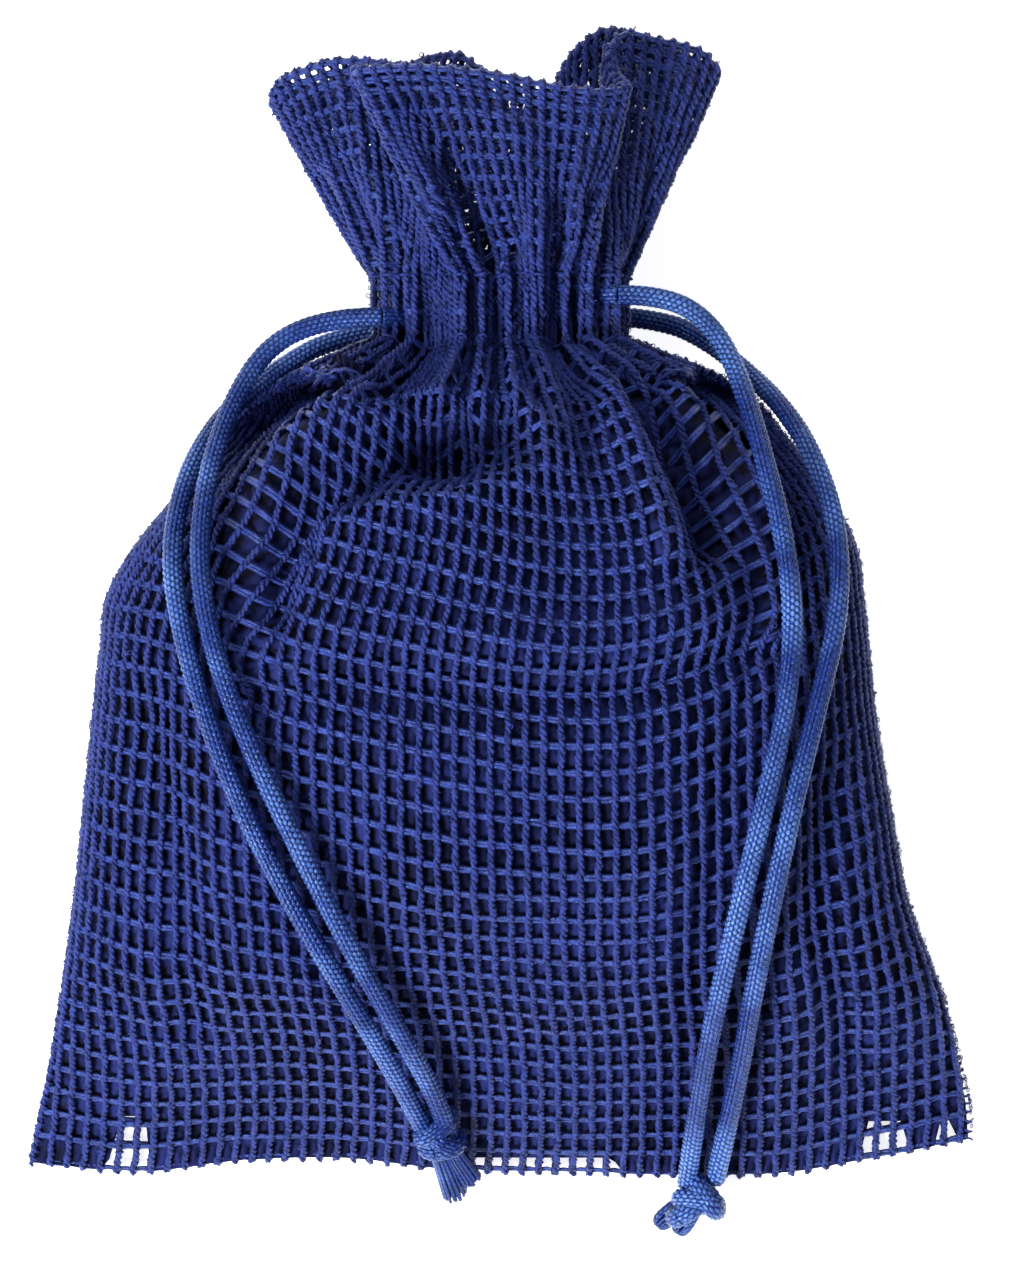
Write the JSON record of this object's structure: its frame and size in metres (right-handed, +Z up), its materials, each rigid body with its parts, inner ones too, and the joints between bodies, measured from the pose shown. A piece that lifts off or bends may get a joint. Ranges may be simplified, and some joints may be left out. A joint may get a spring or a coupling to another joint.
{
  "type": "mesh drawstring laundry bag",
  "caption": "Small open-net laundry bag with a gathered neck, a double frill and satin drawstrings knotted at the ends, lying on its back.",
  "frame": {"origin": "on the floor under the middle of the bag's box, drawstrings left out", "axes": "+Z up, +Y from the bottom fold to the mouth, +X to the right seen from the front"},
  "size_m": [0.1512, 0.1946, 0.0545],
  "materials": {
    "net": "open net of twisted cotton yarn",
    "thread": "sewing thread and hem",
    "lining": "matt dark cloth",
    "cord": "braided satin"
  },
  "bodies": {
    "bag": {"bottom_fold": "net", "channel_inner_back": "net", "channel_inner_front": "net", "channel_outer_back": "net", "channel_outer_front": "net", "frill_inner_back": "net", "frill_inner_front": "net", "frill_outer_back": "net", "frill_outer_front": "net", "lining": "lining", "mouth_fold": "net", "net_back": "net", "net_front": "net", "side_seam_left": "thread", "side_seam_right": "thread", "stitching_lower_back": "thread", "stitching_lower_front": "thread", "stitching_upper_back": "thread", "stitching_upper_front": "thread"},
    "drawstring_left": {"cord_left_over": "cord", "cord_left_under": "cord", "drawstring_left": "cord", "knot_left": "cord", "tail_left_long": "cord", "tail_left_short": "cord"},
    "drawstring_right": {"cord_right_over": "cord", "cord_right_under": "cord", "drawstring_right": "cord", "knot_right": "cord", "tail_right_long": "cord", "tail_right_short": "cord"}
  },
  "joints": [
    {"name": "pull_left", "type": "slide", "parent": "bag", "child": "drawstring_left", "axis": [-1, 0, 0], "range_m": [0, 0.006]},
    {"name": "pull_right", "type": "slide", "parent": "bag", "child": "drawstring_right", "axis": [1, 0, 0], "range_m": [0, 0.006]}
  ]
}
